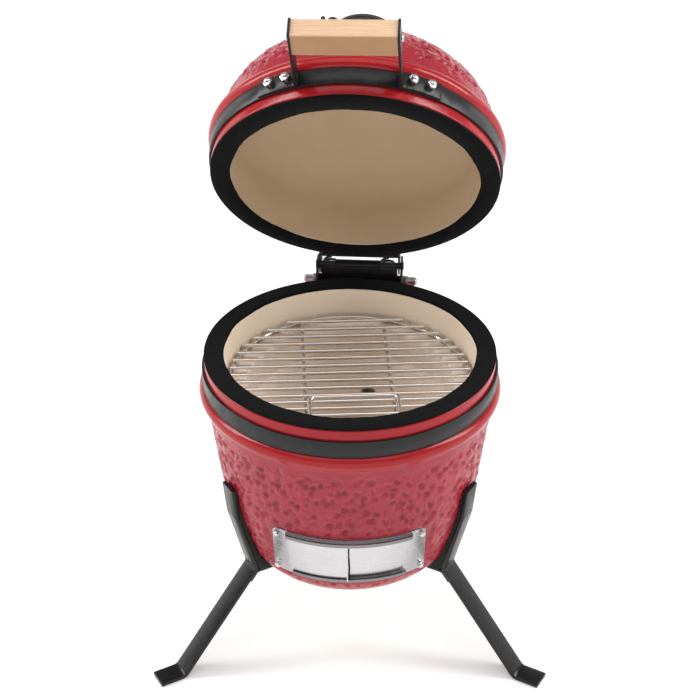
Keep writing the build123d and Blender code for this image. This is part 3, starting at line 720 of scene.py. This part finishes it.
# ---------------------------------------------------------------- the felt gaskets
def make_gasket(name, node, inner_r, outer_r, low, place, seed):
    """A hand-cut felt ring: soft edges, a slightly uneven inner line and a fuzzy face."""
    high = low + GASKET_T
    profile = [(inner_r, low), (outer_r - 0.6, low), (outer_r, low + 0.7), (outer_r, high - 0.9)]
    profile += [(outer_r - 0.3, high - 0.35), (outer_r - 1.0, high)]
    profile += [(outer_r - 1.0 - k * (outer_r - inner_r - 2.2) / 10, high) for k in range(1, 11)]
    profile += [(inner_r + 0.4, high - 0.3), (inner_r, high - 0.9), (inner_r, low + 0.5)]

    def relief(turn, radius, z, run):
        around = Vector((cos(turn) * 4, sin(turn) * 4, seed))
        cut = noise.noise(around) * 1.3
        cut += noise.noise(around * 5) * 0.35
        cut += noise.noise(around * 17) * 0.18
        share = (outer_r - radius) / (outer_r - inner_r)
        face = noise.noise(Vector((radius * cos(turn), radius * sin(turn), seed)) / 6) * 0.22
        lift = face * ease(z, low + 1, high) * ease(min(share, 1 - share), 0, 0.15)
        return radius + cut * share**3 + 0.12 * noise.noise(around * 29) * (1 - share), z + lift

    ring = lathe(name, [(profile, 0)], 900, place, relief)
    dress(ring, felt, slot="felt")
    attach(ring, nodes[node]["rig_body"])
    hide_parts(node)


# ---------------------------------------------------------------- the dark strip painted as shadow in the draft door's gap
def make_gap_shadow_strip():
    """A dark strip down the sliding panel's edge, set in the gap to the fixed panel as painted shadow.

    It is a little wavy.
    """
    low, high = DRAFT_BOTTOM + 7.5, DRAFT_TOP - 5.0
    verts = []
    for k in range(GAP_SHADOW_STEPS + 1):
        share = k / GAP_SHADOW_STEPS
        z = low + (high - low) * share
        lean = 0.7 * sin(2 * pi * share) - 1.0 * (1 - share) ** 2
        for x, off in GAP_SHADOW_PROFILE:
            verts.append(Vector((x + lean, -(cone_r(z) + off), z)) * MM)
    count = len(GAP_SHADOW_PROFILE)
    last = GAP_SHADOW_STEPS * count
    faces = [tuple(range(count - 1, -1, -1)), tuple(range(last, last + count))]
    for k in range(GAP_SHADOW_STEPS):
        for i in range(count):
            n = (i + 1) % count
            faces.append((k * count + i, k * count + n, (k + 1) * count + n, (k + 1) * count + i))
    mesh = bpy.data.meshes.new("gap_shadow_strip")
    mesh.from_pydata(verts, [], faces)
    outward = bmesh.new()
    outward.from_mesh(mesh)
    bmesh.ops.recalc_face_normals(outward, faces=outward.faces)
    outward.to_mesh(mesh)
    outward.free()
    mesh.transform(DRAFT_PLACE)
    # painted shadow: a dark rubber strip where the gap between the panels holds only shade
    strip = new_object("door_gap_shadow_strip", mesh)
    dress(strip, rubber)
    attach(strip, nodes["draft_slider"]["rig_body"])


# ---------------------------------------------------------------- the assist springs
def make_spring(name, node, x):
    """A close-wound extension spring, hooked over the rod below and the lid's bar above."""
    hook = ROD_R + SPRING_WIRE_R + 0.1
    low, high = ROD_Z + hook + 2.0, BAR_OPEN[1] - hook - 2.0
    steps = int((high - low) / SPRING_PITCH) * SPRING_TURN_STEPS
    points = []
    for k in range(HOOK_STEPS + 1):
        t = radians(-100 + 250 * k / HOOK_STEPS)
        points.append((x, ROD_Y + hook * cos(t + pi), ROD_Z + hook * sin(t + pi)))
    points.reverse()
    for k in range(steps + 1):
        t = 2 * pi * k / SPRING_TURN_STEPS
        z = low + (high - low) * k / steps
        points.append((x + SPRING_R * sin(t), ROD_Y + SPRING_R * cos(t), z))
    for k in range(HOOK_STEPS + 1):
        t = radians(-60 + 250 * k / HOOK_STEPS)
        points.append((x, BAR_OPEN[0] + hook * cos(t), BAR_OPEN[1] + hook * sin(t)))
    shifted = [(p[0] + AXIS.x / MM, p[1] + AXIS.y / MM, p[2]) for p in points]
    spring = tube(name, shifted, SPRING_WIRE_R)
    dress(spring, dark_wire, slot="dark_spring")
    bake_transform(spring)
    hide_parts(node)


make_pot()
make_lid()
make_gap_shadow_strip()
make_gasket("base_felt", "base_gasket", POT_INNER_R, POT_LIP_R + 0.2, RIM - GASKET_T, TO_POT, 3.1)
make_gasket("lid_felt", "lid_gasket", LID_INNER_R, LID_LIP_R + 0.2, RIM + GAP, TO_LID, 8.7)
make_spring("assist_spring_left", "hinge_spring_left", SPRING_X[0])
make_spring("assist_spring_right", "hinge_spring_right", SPRING_X[1])

# ---------------------------------------------------------------- CAD nodes and their finishes
EASED = {
    "base_band": (0.5, black_steel),
    "lid_band": (0.5, black_steel),
    "handle_bracket_left": (0.5, black_steel),
    "handle_bracket_right": (0.5, black_steel),
    "hinge_base_bracket": (0.4, black_steel),
    "hinge_lid_bracket": (0.4, black_steel),
    "leg_left": (0.5, black_leg),
    "leg_right": (0.5, black_leg),
    "leg_rear": (0.5, black_leg),
    "cradle_ring": (0.8, black_leg),
    "support_pads": (0.8, rubber),
    "fire_ring": (1.5, firebrick),
    "fire_bowl": (1.5, firebrick),
    "charcoal_grate": (0.8, cast_iron),
    "vent_base": (0.8, cast_iron),
    "vent_disc": (0.6, cast_iron),
    "vent_pivot": (0.3, cast_iron),
    "draft_screws": (0.3, chrome),
    "bracket_nuts": (0.3, chrome),
    "handle_screws": (0.3, chrome),
    "spring_rod_nuts": (0.3, dull_steel),
    "hinge_base_bolts": (0.3, black_steel),
    "hinge_lid_bolts": (0.3, chrome),
    "hinge_pin": (0.4, dark_wire),
}
PLAIN = {
    "draft_frame": sheet_steel,
    "draft_fixed_panel": sheet_steel,
    "draft_slider": sheet_steel,
    "draft_top_rail": rail_steel,
    "draft_bottom_rail": rail_steel,
    "handle_bar": bamboo,
    "vent_knob": cast_iron,
    "grid_bars": wire_steel,
    "grid_ring": wire_steel,
    "grid_cross_wires": wire_steel,
    "front_bail": wire_steel,
    "spring_rod": dark_wire,
    "hinge_crossbar": dark_wire,
    "hinge_barrel": black_steel,
}
slots = {part["node"]: part["material_slot"] for part in frame["record"]["subparts"]}
for node, (width, shader) in EASED.items():
    dress(eased(node, width), shader, slot=slots[node])
for node, shader in PLAIN.items():
    dress(nodes[node], shader)


# ---------------------------------------------------------------- floor, light and camera
def make_floor():
    half = FLOOR_HALF
    corners = [(-half, -half, 0), (half, -half, 0), (half, half, 0), (-half, half, 0)]
    mesh = bpy.data.meshes.new("floor")
    mesh.from_pydata(corners, [], [(0, 1, 2, 3)])
    floor = new_object("floor", mesh)
    paper = Shader("floor_paper", Roughness=0.95, Specular_IOR_Level=0.05)
    grain = paper.noise(3, 2, 0.5)
    paper.set("Base Color", paper.ramp(grain, (0.3, (0.93, 0.93, 0.93)), (0.7, (0.95, 0.95, 0.95))))
    paper.surface.inputs["Emission Color"].default_value = (1, 1, 1, 1)
    away = paper.node("ShaderNodeVectorMath", {0: paper.place}, operation="LENGTH").outputs["Value"]
    paper.set("Emission Strength", paper.grey(away, *FLOOR_GLOW, 0.5, 2.2))
    floor.data.materials.append(paper.material)


def make_wall():
    """A white wall far round the grill, so that it reflects a bright horizon."""
    radius, height = WALL
    ring = [(radius * cos(radians(t)), radius * sin(radians(t))) for t in range(0, 360, 5)]
    verts = [(x, y, z) for z in (0, height) for x, y in ring]
    count = len(ring)
    faces = [(k, (k + 1) % count, count + (k + 1) % count, count + k) for k in range(count)]
    mesh = bpy.data.meshes.new("wall")
    mesh.from_pydata(verts, [], faces)
    wall = new_object("wall", mesh)
    paint = Shader("wall_paint", Roughness=0.95, Specular_IOR_Level=0.05)
    patches = paint.noise(0.4, 2, 0.5)
    paint.set("Base Color", paint.ramp(patches, (0.3, (0.80, 0.80, 0.80)), (0.7, (0.82, 0.82, 0.82))))
    paint.surface.inputs["Emission Color"].default_value = (1, 1, 1, 1)
    paint.surface.inputs["Emission Strength"].default_value = WALL_GLOW
    wall.data.materials.append(paint.material)


def softbox(name, place, aim, size, power):
    light = bpy.data.lights.new(name, "AREA")
    light.shape = "RECTANGLE"
    light.size, light.size_y = size
    light.energy = power
    lamp = new_object(name, light)
    lamp.location = place
    lamp.rotation_euler = (Vector(aim) - Vector(place)).to_track_quat("-Z", "Y").to_euler()


def make_light():
    world = bpy.data.worlds.new("studio")
    world.use_nodes = True
    background = world.node_tree.nodes["Background"]
    background.inputs["Color"].default_value = (1, 1, 1, 1)
    background.inputs["Strength"].default_value = WORLD_LEVEL
    bpy.context.scene.world = world
    for box in SOFTBOXES:
        softbox(*box)
    settings = bpy.context.scene.view_settings
    settings.view_transform = "Standard"
    settings.look = "None"
    settings.exposure = 0.0
    settings.gamma = 1.0


def make_camera():
    data = bpy.data.cameras.new("camera")
    data.lens = CAMERA_LENS
    data.sensor_width = 36.0
    data.dof.use_dof = False
    camera = new_object("camera", data)
    across, back, up = CAMERA_FROM_AXIS
    camera.location = (AXIS.x + across, AXIS.y + back, RIM * MM + up)
    camera.rotation_euler = [radians(turn) for turn in CAMERA_TURN]
    bpy.context.scene.camera = camera


make_floor()
make_wall()
make_light()
make_camera()
